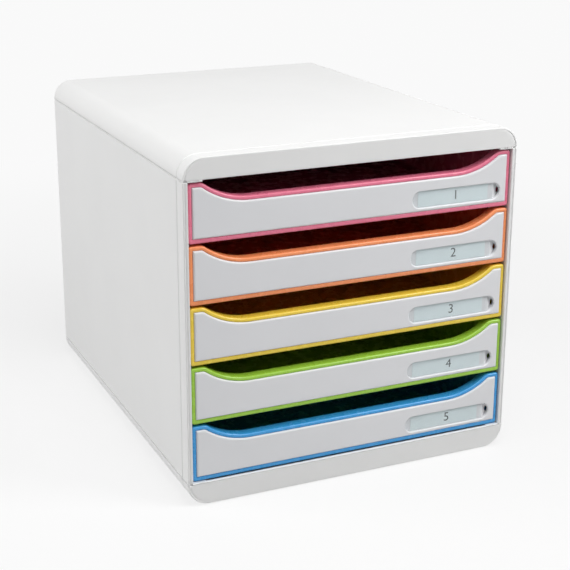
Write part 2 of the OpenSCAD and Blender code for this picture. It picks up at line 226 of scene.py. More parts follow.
class Shell:
    """Faces gathered from surfaces that are worked out as whole arrays of points."""

    def __init__(self) -> None:
        """Starts with no points and no faces."""
        self._points: list[np.ndarray] = []
        self._faces: list[list[int]] = []

    def _add(self, points: np.ndarray) -> int:
        """Stores points and returns the number of the first one."""
        self._points.append(np.asarray(points, float).reshape(-1, 3))
        return sum(map(len, self._points[:-1]))

    def grid(self, points: np.ndarray, wrap: bool = False) -> Shell:
        """Adds a surface given on a grid: four neighbouring points make a face.

        Args:
            points: Array of rows, columns and three coordinates.
            wrap: Whether the last column joins the first.

        Returns:
            The shell itself.
        """
        rows, cols = points.shape[:2]
        first = self._add(points)
        i = np.arange(rows - 1)[:, None] * cols
        j = np.arange(cols if wrap else cols - 1)[None, :]
        a, b = i + j, i + (j + 1) % cols
        quads = np.stack([a, b, b + cols, a + cols], axis=-1).reshape(-1, 4) + first
        self._faces.extend(quads.tolist())
        return self

    def face(self, ring: np.ndarray) -> Shell:
        """Adds one flat face with this outline."""
        self._faces.append((self._add(ring) + np.arange(len(ring))).tolist())
        return self

    def face_with_hole(self, ring: np.ndarray, hole: np.ndarray) -> Shell:
        """Adds a flat face with one hole, filled with triangles.

        Args:
            ring: The face's outline.
            hole: The hole's outline.

        Returns:
            The shell itself.
        """
        first = self._add(np.concatenate([ring, hole]))
        parts = [[Vector(p) for p in part] for part in (ring, hole)]
        self._faces.extend([[first + k for k in t] for t in tessellate_polygon(parts)])
        return self

    def loft(self, rings: list[np.ndarray]) -> Shell:
        """Adds the closed skin through rings of equally many points, with a face at each end."""
        return self.grid(np.stack(rings), wrap=True).face(rings[0]).face(rings[-1])

    def slab(self, axis: int, outline: np.ndarray, low: float, high: float) -> Shell:
        """Adds the prism along an axis, over an outline given in the two others."""
        return self.loft([np.insert(outline, axis, place, axis=1) for place in (low, high)])

    def block(self, low: Point, high: Point) -> Shell:
        """Adds the box between two corners."""
        (x0, y0, z0), (x1, y1, z1) = low, high
        return self.slab(Z, np.array([(x0, y0), (x1, y0), (x1, y1), (x0, y1)]), z0, z1)

    def moved(self, scale: Point, shift: Point = (0.0, 0.0, 0.0)) -> Shell:
        """Multiplies every point by scale and then adds shift."""
        self._points = [points * scale + shift for points in self._points]
        return self

    def mirrored(self) -> Shell:
        """Reflects the shell in the tower's middle plane."""
        self._faces = [face[::-1] for face in self._faces]
        return self.moved((-1.0, 1.0, 1.0))

    def build(self, name: str, lift: float = 0.0) -> Piece:
        """Makes the finished object, in metres in the row frame, with its faces pointing out.

        Args:
            name: The piece's name.
            lift: Height in millimetres to add to every point.

        Returns:
            The object, at the origin.
        """
        points = (np.concatenate(self._points) + (0.0, -TOWER.depth / 2, lift)) * MM
        mesh = bpy.data.meshes.new(name)
        mesh.from_pydata(points.tolist(), [], self._faces)
        work = bmesh.new()
        work.from_mesh(mesh)
        bmesh.ops.remove_doubles(work, verts=work.verts, dist=WELD_M)
        bmesh.ops.dissolve_degenerate(work, edges=work.edges, dist=SLIVER_M)
        bmesh.ops.recalc_face_normals(work, faces=work.faces)
        work.to_mesh(mesh)
        work.free()
        mesh.shade_smooth()
        mesh.set_sharp_from_angle(angle=CREASE)
        return put(name, mesh)


def modify(piece: Piece, name: str, kind: str, **settings: object) -> None:
    """Adds a modifier to a piece.

    Args:
        piece: The piece.
        name: The modifier's name.
        kind: Its type.
        **settings: Its settings.
    """
    modifier = piece.modifiers.new(name, kind)
    for key, value in settings.items():
        setattr(modifier, key, value)


def soften(piece: Piece, radius: float, segments: int = 2) -> None:
    """Rounds a piece's sharp edges.

    Args:
        piece: The piece.
        radius: Radius in millimetres.
        segments: Steps along the round.
    """
    modify(
        piece, "rounded edges", "BEVEL", width=radius * MM, segments=segments, limit_method="ANGLE",
        angle_limit=SOFT_ANGLE, use_clamp_overlap=True, harden_normals=False,
    )


# ------------------------ finishes


class DrawerColour(Enum):
    """Colours of the drawer mouldings, from the top drawer down, with their record slots."""

    PINK = ("tray_pink", (0.84, 0.195, 0.305))
    ORANGE = ("tray_orange", (0.95, 0.31, 0.115))
    YELLOW = ("tray_yellow", (0.88, 0.64, 0.06))
    GREEN = ("tray_green", (0.34, 0.62, 0.055))
    BLUE = ("tray_blue", (0.045, 0.34, 0.74))

    @property
    def slot(self) -> str:
        """The record's material slot."""
        return self.value[0]

    @property
    def rgb(self) -> Colour:
        """The colour, linear."""
        return self.value[1]


@dataclass(frozen=True)
class Noise:
    """Soft noise: the width of its features in millimetres, its detail and its roughness."""

    size: float
    detail: float = 2.0
    roughness: float = 0.5


class NodeSheet:
    """Short way to lay out the nodes of a material or of the world."""

    # Numbers of the sockets on the node that mixes colours, and the usual span of a noise.
    FACTOR, COLOUR_A, COLOUR_B, COLOUR_OUT = 0, 6, 7, 2
    NOISE_LOW, NOISE_HIGH = 0.3, 0.7

    def __init__(self, owner: Material | bpy.types.World) -> None:
        """Empties the node tree of a material or the world.

        Args:
            owner: The material or the world.
        """
        self.owner = owner
        owner.use_nodes = True
        self.tree = owner.node_tree
        self.tree.nodes.clear()

    def add(self, kind: str, inputs: dict[str | int, object], **settings: object) -> bpy.types.Node:
        """Adds a node.

        Args:
            kind: The node's type.
            inputs: What its inputs hold, by name or number. A socket is linked to the input.
            **settings: The node's own settings.

        Returns:
            The node.
        """
        node = self.tree.nodes.new(kind)
        for key, value in settings.items():
            setattr(node, key, value)
        for key, value in inputs.items():
            if isinstance(value, bpy.types.NodeSocket):
                self.tree.links.new(value, node.inputs[key])
            else:
                node.inputs[key].default_value = value
        return node

    def finish(self, surface: Socket) -> Material | bpy.types.World:
        """Joins a surface to the output.

        Args:
            surface: The shader's socket.

        Returns:
            The material or the world.
        """
        kind = "World" if isinstance(self.owner, bpy.types.World) else "Material"
        self.add(f"ShaderNodeOutput{kind}", {"Surface": surface})
        return self.owner

    def place(self) -> Socket:
        """Coordinates of the object."""
        return self.add("ShaderNodeTexCoord", {}).outputs["Object"]

    def noise(self, noise: Noise) -> Socket:
        """Noise on the object's coordinates."""
        inputs = {"Scale": 1.0 / (noise.size * MM), "Detail": noise.detail, "Roughness": noise.roughness}
        return self.add("ShaderNodeTexNoise", inputs | {"Vector": self.place()}).outputs["Fac"]

    def spread(self, source: Socket, low: float, high: float) -> Socket:
        """Maps the usual span of a noise to low to high."""
        span = {"From Min": self.NOISE_LOW, "From Max": self.NOISE_HIGH, "To Min": low, "To Max": high}
        return self.add("ShaderNodeMapRange", span | {"Value": source}).outputs["Result"]

    def tint(self, factor: Socket, one: Colour, two: Colour) -> Socket:
        """Mixes two colours by a factor."""
        inputs = {self.FACTOR: factor, self.COLOUR_A: (*one, 1.0), self.COLOUR_B: (*two, 1.0)}
        return self.add("ShaderNodeMix", inputs, data_type="RGBA").outputs[self.COLOUR_OUT]

    def bump(self, height: Socket, depth: float, **under: Socket) -> Socket:
        """Bump of a depth in millimetres, on top of the socket called Normal if it is given."""
        inputs = {"Strength": 1.0, "Distance": depth * MM, "Height": height}
        return self.add("ShaderNodeBump", inputs | under).outputs["Normal"]

    def math(self, operation: str, one: Socket, two: Socket | float) -> Socket:
        """Result of a sum with two terms."""
        return self.add("ShaderNodeMath", {0: one, 1: two}, operation=operation).outputs[0]

    def mix(self, factor: Socket, one: Socket, two: Socket) -> Socket:
        """Mixes two shaders by a factor."""
        return self.add("ShaderNodeMixShader", {0: factor, 1: one, 2: two}).outputs[0]

    def seen(self) -> Socket:
        """One for rays from the camera, off a gloss or through a clear piece, zero for others.

        Returns:
            The socket.
        """
        rays = self.add("ShaderNodeLightPath", {}).outputs
        either = self.math("MAXIMUM", rays["Is Camera Ray"], rays["Is Glossy Ray"])
        return self.math("MAXIMUM", either, rays["Is Transmission Ray"])


@dataclass(frozen=True)
class MouldedPlastic:
    """Injection-moulded polystyrene: a spark-eroded grain, faint flow clouding and slight sink.

    The grain is fine noise in the bump, the clouding is wide noise in colour, the scuffing is
    noise in roughness, and the sink is a very shallow, wide bump that bends reflections.
    """

    name: str
    colour: Colour
    roughness: float
    grain: Noise
    grain_depth: float
    clouding: float = 0.03
    sink_depth: float = 0.05
    scuffing: float = 0.035
    lift: float = 0.6
    cloud: Noise = Noise(60.0, 3.0)
    scuff: Noise = Noise(9.0, 5.0, 0.6)
    sink: Noise = Noise(38.0, 1.0)
    index: float = 1.53

    def material(self) -> Material:
        """Lays out the nodes.

        Returns:
            The material.
        """
        sheet = NodeSheet(bpy.data.materials.new(self.name))
        dark = tuple(c * (1 - self.clouding) for c in self.colour)
        light = tuple(min(1.0, c * (1 + self.clouding * self.lift)) for c in self.colour)
        sink = sheet.bump(sheet.noise(self.sink), self.sink_depth)
        low, high = self.roughness - self.scuffing, self.roughness + self.scuffing
        shader = sheet.add("ShaderNodeBsdfPrincipled", {
            "Base Color": sheet.tint(sheet.noise(self.cloud), dark, light),
            "Roughness": sheet.spread(sheet.noise(self.scuff), low, high),
            "Normal": sheet.bump(sheet.noise(self.grain), self.grain_depth, Normal=sink),
            "IOR": self.index,
        })
        return sheet.finish(shader.outputs["BSDF"])


@dataclass(frozen=True)
class ClearSheet:
    """Clear polystyrene: smooth, faintly tinted, with very soft waviness in its reflections.

    What lies behind shows straight through it, less the more the sheet is seen edge on.
    """

    name: str
    colour: Colour
    roughness: tuple[float, float] = (0.03, 0.08)
    cover: float = 0.07
    edge_power: float = 4.0
    smear: Noise = Noise(7.0, 4.0)
    wave: Noise = Noise(14.0, 1.0)
    wave_depth: float = 0.01
    index: float = 1.59

    def material(self) -> Material:
        """Lays out the nodes.

        Returns:
            The material.
        """
        sheet = NodeSheet(bpy.data.materials.new(self.name))
        facing = sheet.add("ShaderNodeLayerWeight", {}).outputs["Facing"]
        edge_on = sheet.math("POWER", facing, self.edge_power)
        alpha = sheet.add("ShaderNodeMapRange", {"To Min": self.cover, "Value": edge_on})
        shader = sheet.add("ShaderNodeBsdfPrincipled", {
            "Base Color": (*self.colour, 1.0),
            "Roughness": sheet.spread(sheet.noise(self.smear), *self.roughness),
            "Normal": sheet.bump(sheet.noise(self.wave), self.wave_depth),
            "IOR": self.index,
            "Alpha": alpha.outputs["Result"],
        })
        return sheet.finish(shader.outputs["BSDF"])


@dataclass(frozen=True)
class DullSheet:
    """Card or rubber: a mottled colour, an uneven sheen, and fibres or pebbles in the bump."""

    name: str
    colour: Colour
    shades: tuple[float, float]
    mottle: Noise
    sheen: Noise
    roughness: tuple[float, float]
    grain: Noise
    grain_depth: float

    def material(self) -> Material:
        """Lays out the nodes.

        Returns:
            The material.
        """
        sheet = NodeSheet(bpy.data.materials.new(self.name))
        one, two = (tuple(c * shade for c in self.colour) for shade in self.shades)
        shader = sheet.add("ShaderNodeBsdfPrincipled", {
            "Base Color": sheet.tint(sheet.noise(self.mottle), one, two),
            "Roughness": sheet.spread(sheet.noise(self.sheen), *self.roughness),
            "Normal": sheet.bump(sheet.noise(self.grain), self.grain_depth),
        })
        return sheet.finish(shader.outputs["BSDF"])


@dataclass(frozen=True)
class Coat:
    """A material and the record slot of the pieces that wear it."""

    material: Material
    slot: str


@dataclass(frozen=True)
class Finishes:
    """The coats of the whole tower, made once."""

    casing: Coat
    back: Coat
    plate: Coat
    window: Coat
    card: Coat
    ink: Coat
    rubber: Coat
    trays: dict[DrawerColour, Coat]

    @staticmethod
    def card_like(name: str, colour: Colour) -> Coat:
        """A coat of card: pale and dark fibres, and very little sheen.

        Args:
            name: The material's name.
            colour: Its paler colour, linear.

        Returns:
            The coat.
        """
        card = DullSheet(
            name, colour, shades=(0.95, 1.0), mottle=Noise(1.6, 4.0, 0.7), sheen=Noise(3.0),
            roughness=(0.75, 0.9), grain=Noise(0.25, 3.0), grain_depth=0.01,
        )
        return Coat(card.material(), "label_card")

    @staticmethod
    def make() -> Finishes:
        """Makes every coat.

        Returns:
            The coats.
        """
        plain = MouldedPlastic("casing white", (0.83, 0.83, 0.825), 0.44, Noise(0.5), 0.01)
        back = MouldedPlastic("back panel white", (0.80, 0.80, 0.795), 0.5, Noise(0.5), 0.014)
        plate = MouldedPlastic("facing plate white", (0.78, 0.785, 0.805), 0.38, Noise(0.4), 0.006)
        rubber = DullSheet(
            "foot rubber", (0.035, 0.035, 0.038), shades=(1.0, 1.5), mottle=Noise(4.0, 5.0), sheen=Noise(1.2),
            roughness=(0.65, 0.85), grain=Noise(0.5), grain_depth=0.02,
        )
        trays = {
            c: MouldedPlastic(f"tray {c.name.lower()}", c.rgb, 0.27, Noise(0.8), 0.003, 0.02, 0.03)
            for c in DrawerColour
        }
        return Finishes(
            casing=Coat(plain.material(), "casing_white"),
            back=Coat(back.material(), "casing_white"),
            plate=Coat(plate.material(), "plate_white"),
            window=Coat(ClearSheet("clear window", (0.80, 0.90, 0.92)).material(), "window_clear"),
            card=Finishes.card_like("label card", (0.82, 0.91, 0.93)),
            ink=Finishes.card_like("numeral ink", (0.045, 0.05, 0.055)),
            rubber=Coat(rubber.material(), "foot_rubber"),
            trays={c: Coat(tray.material(), c.slot) for c, tray in trays.items()},
        )


def dress(piece: Piece, coat: Coat, body: str, *nodes: str) -> None:
    """Gives a piece its coat's material and its body, and hides the nodes it stands for.

    The shading is weighted by face area, so that flat faces beside a round stay flat.

    Args:
        piece: The finished object.
        coat: Its material and slot.
        body: The CAD body it rides on.
        *nodes: CAD nodes that the piece replaces.
    """
    piece.data.materials.append(coat.material)
    modify(piece, "even shading", "WEIGHTED_NORMAL", mode="FACE_AREA", weight=80, keep_sharp=True)
    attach(piece, body)
    if nodes:
        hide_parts(*nodes)
    log.info("%s: %d faces on %s", piece.name, len(piece.data.polygons), body)


# ------------------------ casing


@dataclass
class Cover:
    """Top cover or base: a shell with rounded long edges, grooved behind its front."""

    name: str
    height: float
    joint_z: float
    downward: bool = False
    arc_steps: int = 28
    rib_t: float = 1.6
    rib_r: float = 0.25
    rib_root: float = 0.5
    cross_ribs: int = 4
    cross_root: float = 0.6
    long_rib_x: tuple[float, ...] = (-75.0, 0.0, 75.0)
    long_rib_z: float = 5.0
    tongue_reach: float = 1.0

    def outline(self, inset: float) -> np.ndarray:
        """Outline above the joint: a quarter round of the cover's height at each side.

        Inset outlines keep the quarter rounds' centres, so they run parallel to the outside.

        Args:
            inset: Distance in from the outside.

        Returns:
            The outline in XZ, from the right joint over the top to the left one.
        """
        x, r = TOWER.half_w - self.height, self.height - inset
        return np.concatenate([
            arc(x, 0, r, 0, 90, self.arc_steps),
            arc(-x, 0, r, 90, 180, self.arc_steps),
        ])

    def stations(self) -> np.ndarray:
        """Inset and depth of the outline along y: a quarter round at each end and the groove."""
        rear = (rounding(TOWER.arris_r) * (1, -1) + (0, TOWER.depth))[::-1]
        return np.concatenate([rounding(TOWER.front_r), TOWER.groove_profile(), rear])

    def cove(self) -> list[np.ndarray]:
        """Rings of the front's shallow cove, from its inner end to the front arris.

        The depth is multiplied by the sideways share of the outline's direction, so that the
        cove dies out along the straight edge.

        Returns:
            The rings.
        """
        side = np.abs(self.outline(TOWER.front_r)[:, 0]) - (TOWER.half_w - self.height)
        share = np.clip(side / (self.height - TOWER.front_r), 0, 1)
        return [at_y(self.outline(inset), depth * share) for inset, depth in TOWER.cove_profile()]

    def skin(self) -> Shell:
        """The outer surface, open at the joint: the outline carried back over the stations."""
        rings = self.cove() + [at_y(self.outline(inset), y) for inset, y in self.stations()]
        return Shell().grid(np.stack(rings)).face(rings[0]).face(rings[-1])

    def ribs(self) -> Shell:
        """Cross ribs, long ribs and the snap tongues, inside the wall.

        Returns:
            The shell of all of them.
        """
        shell, half, top = Shell(), self.rib_t / 2, self.height - TOWER.wall
        inner = self.outline(TOWER.wall - self.cross_root)
        for y in np.arange(1, self.cross_ribs + 1) * TOWER.depth / (self.cross_ribs + 1):
            shell.slab(Y, inner, y - half, y + half)
        for x in self.long_rib_x:
            low = (x - half, TOWER.wall - self.rib_root, self.long_rib_z)
            shell.block(low, (x + half, TOWER.rear_stop, top + self.rib_root))
        foot, out, t = -TOWER.flange_t - self.tongue_reach, TOWER.tongue_x, TOWER.tongue_t
        for y in TOWER.tongue_ys():
            for x in (-out, out - t):
                shell.block((x, y, foot), (x + t, y + TOWER.tongue_l, top - self.tongue_reach))
        return shell

    def placed(self, shell: Shell) -> Shell:
        """The shell turned over if it hangs below the joint, and moved to the joint."""
        return shell.moved((1.0, 1.0, -1.0 if self.downward else 1.0), (0.0, 0.0, self.joint_z))

    def make(self, finishes: Finishes) -> None:
        """Builds the skin with its wall thickness, and the ribs and tongues inside.

        Args:
            finishes: The tower's coats.
        """
        skin = self.placed(self.skin()).build(self.name)
        modify(skin, "wall", "SOLIDIFY", thickness=TOWER.wall * MM, offset=-1, use_even_offset=True)
        dress(skin, finishes.casing, "casing", self.name)
        ribs = self.placed(self.ribs()).build(f"{self.name}_ribs")
        soften(ribs, self.rib_r)
        dress(ribs, finishes.casing, "casing")


@dataclass
class Base(Cover):
    """The base: the same shell turned over, with a lip between the side panels' flanges."""

    lip_h: float = 1.2
    lip_r: float = 0.35
    lip_root: float = 0.02

    def make(self, finishes: Finishes) -> None:
        """Builds the shell and the lip that stands on its front wall.

        Args:
            finishes: The tower's coats.
        """
        super().make(finishes)
        x, z = TOWER.half_w - TOWER.flange_w - TOWER.clearance, self.joint_z
        lip = Shell().block((-x, 0.0, z - self.lip_root), (x, TOWER.wall, z + self.lip_h)).build("base_lip")
        soften(lip, self.lip_r, 3)
        dress(lip, finishes.casing, "casing")


@dataclass
class Runners:
    """Inside of the left side panel: for each drawer a runner, a guide, a stop lug and gussets."""

    root: float = 1.0
    slide_gap: float = 0.3
    runner_t: float = 1.8
    runner_w: float = 8.0
    runner_y: float = 11.0
    guide_z: float = 41.0
    guide_t: float = 1.4
    guide_w: float = 6.0
    guide_y: float = 14.0
    lug_x: float = 128.2
    lug_l: float = 6.0
    tail: float = 4.0
    tail_gap: float = 2.0
    gusset_w: float = 6.0
    gusset_h: float = 7.0
    gusset_t: float = 1.6
    gusset_y: tuple[float, ...] = (60.0, 125.0, 190.0, 255.0, 320.0)

    def plan(self, width: float, start: float) -> np.ndarray:
        """Plan of a rib, drawn in at its front end by its width and at its rear end by the tail.

        Args:
            width: How far it stands out from the panel's inner face.
            start: Depth at which it starts.

        Returns:
            The outline in XY.
        """
        web, end = -TOWER.web, TOWER.rear_stop - self.tail_gap
        return np.array([
            (web - self.root, start),
            (web + width / 2, start),
            (web + width, start + width),
            (web + width, end - self.tail),
            (web + width - self.tail, end),
            (web - self.root, end),
        ])

    def shell(self) -> Shell:
        """All of the ribs.

        Returns:
            Their shell.
        """
        shell, back = Shell(), -TOWER.web - self.root
        for number in range(1, TOWER.drawers + 1):
            z = TOWER.drawer_z(number)
            top = z + TOWER.slide_z - self.slide_gap
            shell.slab(Z, self.plan(self.runner_w, self.runner_y), top - self.runner_t, top)
            low, high = z + self.guide_z, z + self.guide_z + self.guide_t
            shell.slab(Z, self.plan(self.guide_w, self.guide_y), low, high)
            shell.block((back, self.guide_y, low), (-self.lug_x, self.guide_y + self.lug_l, high))
            under = z + TOWER.slide_z - self.runner_t
            gusset = np.array([
                (back, under),
                (self.gusset_w - TOWER.web, under),
                (-TOWER.web, under - self.gusset_h),
                (back, under - self.gusset_h),
            ])
            for y in self.gusset_y:
                shell.slab(Y, gusset, y, y + self.gusset_t)
        return shell


@dataclass
class SidePanel:
    """Side panel: a C-section wall with flanges, a return for the back panel and runners."""

    side: str
    joint: float = 0.25
    bevel_w: float = 1.5
    bevel_h: float = 1.4
    return_w: float = 8.0
    front_edge_d: float = 10.0
    front_edge_r: float = 0.5
    front_edge_lead: float = 2.0
    flange_y: float = 0.4
    post_y: float = 1.5
    post_gap: float = 0.3
    root: float = 1.0
    wall_r: float = 0.3
    flange_r: float = 0.2

    def plan(self) -> np.ndarray:
        """Plan of the left wall: rounded arrises, the groove, the thick front edge, the cove.

        Returns:
            The closed outline in XY.
        """
        r, front_r, w = TOWER.arris_r, TOWER.front_r, TOWER.half_w
        edge, edge_r = TOWER.front_edge_w - w, self.front_edge_r
        inner = np.array([
            (self.return_w - w, TOWER.depth),
            (self.return_w - w, TOWER.depth - TOWER.wall),
            (-TOWER.web, TOWER.depth - TOWER.wall),
            (-TOWER.web, self.front_edge_d + self.front_edge_lead),
            (edge, self.front_edge_d),
        ])
        return np.concatenate([
            arc(front_r - w, front_r, front_r, 270, 180, 8),
            TOWER.groove_profile() - (w, 0),
            arc(r - w, TOWER.depth - r, r, 180, 90, 8),
            inner,
            arc(edge - edge_r, edge_r, edge_r, 0, -90, 4),
            TOWER.cove_profile() - (w, 0),
        ])

    def wall(self) -> Shell:
        """The plan carried up, drawn in by a bevel at both joints, outside and at the ends.

        Returns:
            The wall's shell.
        """
        plan = self.plan()
        cut = np.stack([
            np.maximum(plan[:, 0], self.bevel_w - TOWER.half_w),
            np.clip(plan[:, 1], self.bevel_w, TOWER.depth - self.bevel_w),
        ], axis=1)
        low, high = TOWER.base_h + self.joint, TOWER.cover_z - self.joint
        levels = [(cut, low), (plan, low + self.bevel_h), (plan, high - self.bevel_h), (cut, high)]
        return Shell().loft([at_z(outline, z) for outline, z in levels])

    def flanges(self) -> Shell:
        """Flanges turned in at the top and bottom, their front edges a full round.

        Each is a strip between the slots that the snap tongues pass through.

        Returns:
            The flanges' shell.
        """
        shell, r, gap = Shell(), TOWER.flange_t / 2, TOWER.clearance
        slots, stop = TOWER.tongue_ys(), TOWER.rear_stop
        ends = [[self.flange_y], slots - gap, slots + TOWER.tongue_l + gap, [stop]]
        out, within = -TOWER.tongue_x - gap, TOWER.tongue_t - TOWER.tongue_x + gap
        post = TOWER.front_edge_w - TOWER.half_w - self.post_gap
        for z in (TOWER.base_h, TOWER.cover_z - TOWER.flange_t):
            top = z + TOWER.flange_t
            profile = np.concatenate([arc(r, z + r, r, 90, 270, 8), [(stop, z), (stop, top)]])
            for x0, x1 in ((post, out), (within, TOWER.flange_w - TOWER.half_w)):
                shell.slab(X, profile, x0, x1)
            shell.block((-TOWER.web - self.root, self.post_y, z), (post, stop, top))
            for y0, y1 in np.sort(np.concatenate(ends)).reshape(-1, 2):
                shell.block((out, y0, z), (within, y1, top))
        return shell

    def make(self, finishes: Finishes) -> None:
        """Builds the wall, its flanges and the runners inside.

        Args:
            finishes: The tower's coats.
        """
        name = f"{self.side}_side_panel"
        parts = (
            (name, self.wall(), self.wall_r, [name]),
            (f"{self.side}_flanges", self.flanges(), self.flange_r, []),
            (f"{self.side}_runners", Runners().shell(), self.wall_r, []),
        )
        for part, shell, radius, nodes in parts:
            piece = (shell.mirrored() if self.side == "right" else shell).build(part)
            soften(piece, radius)
            dress(piece, finishes.casing, "casing", *nodes)


@dataclass
class BackPanel:
    """Rear wall with a sunk field outside, stiffening ribs inside, and a tab above and below."""

    thickness: float = 2.4
    corner_r: float = 0.9
    edge: float = 0.3
    sink: float = 0.8
    border: float = 24.0
    field_r: float = 4.0
    field_lead: float = 0.4
    tab: float = 6.0
    rib_x: tuple[float, ...] = (-96.0, -48.0, 0.0, 48.0, 96.0)
    rib_t: float = 1.6
    rib_h: float = 2.0
    root: float = 0.2

    def make(self, finishes: Finishes) -> None:
        """Builds the panel as rings from its inner face to the sunk field, its tabs and ribs.

        Args:
            finishes: The tower's coats.
        """
        x, y = TOWER.web - TOWER.clearance, TOWER.rear_stop + TOWER.clearance
        low, high, rear = TOWER.base_h, TOWER.cover_z, y + self.thickness
        e, r, border, field_r, lead = self.edge, self.corner_r, self.border, self.field_r, self.field_lead
        steps = (
            (e, y, r - e), (0.0, y + e, r), (0.0, rear - e, r), (e, rear, r - e),
            (border - lead, rear, field_r + lead), (border, rear - e, field_r),
            (border + e, rear - self.sink, field_r - e),
        )
        shell = Shell().loft([
            at_y(rounded_rectangle(x - inset, low + inset, high - inset, radius), depth)
            for inset, depth, radius in steps
        ])
        for z0, z1 in ((low - self.tab, low + self.root), (high - self.root, high + self.tab)):
            shell.block((self.tab - x, y, z0), (x - self.tab, rear, z1))
        for u in self.rib_x:
            bottom = (u - self.rib_t / 2, y - self.rib_h, low + self.tab)
            shell.block(bottom, (u + self.rib_t / 2, y + self.root, high - self.tab))
        dress(shell.build("back_panel_skin"), finishes.back, "casing", "back_panel")


@dataclass
class Feet:
    """Four rubber pads with rounded lower edges and a shallow hollow underneath."""

    radius: float = 8.0
    height: float = 2.8
    edge_r: float = 0.6
    edge_cut: float = 0.18
    cup_r: float = 4.8
    cup_d: float = 0.35
    x: float = 115.0
    y: float = 24.0
    facets: int = 64

    def make(self, finishes: Finishes) -> None:
        """Builds each pad as a profile turned about its axis.

        Args:
            finishes: The tower's coats.
        """
        r, e, cup, near = self.radius, self.edge_r, self.cup_r, self.edge_cut
        radii = np.array([0.0, cup - e, cup, r - e, r - near, r, r, 0.0])[:, None]
        heights = np.array([self.cup_d, self.cup_d, 0.0, 0.0, near, e, self.height, self.height])
        turn = np.radians(np.arange(self.facets) * 360 / self.facets)
        level = np.repeat(heights[:, None], self.facets, axis=1)
        for row, y in (("front", self.y), ("rear", TOWER.depth - self.y)):
            for side, x in (("left", -self.x), ("right", self.x)):
                grid = np.stack([x + radii * np.cos(turn), y + radii * np.sin(turn), level], axis=-1)
                pad = Shell().grid(grid, wrap=True).build(f"foot_pad_{row}_{side}")
                dress(pad, finishes.rubber, "casing", f"foot_{row}_{side}")


# ------------------------ drawers


@dataclass(frozen=True)
class FrontShape:
    """Outline of a drawer front: two ears and a finger dip swept between them."""

    width: float = 268.8
    height: float = 44.8
    corner_r: float = 2.2
    least_r: float = 0.4
    dip_depth: float = 13.2
    ear_flat: float = 8.6
    ear_r: float = 8.0
    dip_r: float = 58.0

    def outline(self, inset: float, bottom_inset: float) -> np.ndarray:
        """Closed outline of the front.

        Each ear turns down by a small arc into a wide arc of opposite sense that ends level at
        the dip's floor. Inset arcs keep their centres, so inset lines run parallel to the edge.

        Args:
            inset: Distance in from the sides and the top.
            bottom_inset: Distance up from the bottom.

        Returns:
            The outline in XZ.
        """
        x, top = self.width / 2 - inset, self.height - inset
        r = max(self.corner_r - inset, self.least_r)
        ear_x = self.width / 2 - self.ear_flat
        angle = math.degrees(math.acos(1 - self.dip_depth / (self.ear_r + self.dip_r)))
        dip_x = ear_x - (self.ear_r + self.dip_r) * math.sin(math.radians(angle))
        ear_z, dip_z = self.height - self.ear_r, self.height - self.dip_depth + self.dip_r
        right = np.concatenate([
            arc(x - r, bottom_inset + r, r, 270, 360, 6),
            arc(x - r, top - r, r, 0, 90, 6),
            arc(ear_x, ear_z, self.ear_r - inset, 90, 90 + angle, 14),
            arc(dip_x, dip_z, self.dip_r + inset, angle - 90, -90, 36),
        ])
        return np.concatenate([right, right[::-1] * (-1, 1)])

    def rings(self, profile: np.ndarray, extra: float = 0.0) -> list[np.ndarray]:
        """Outlines for a profile's insets and depths, inset by an extra bit at the bottom."""
        return [at_y(self.outline(inset, inset + extra), y) for inset, y in profile]


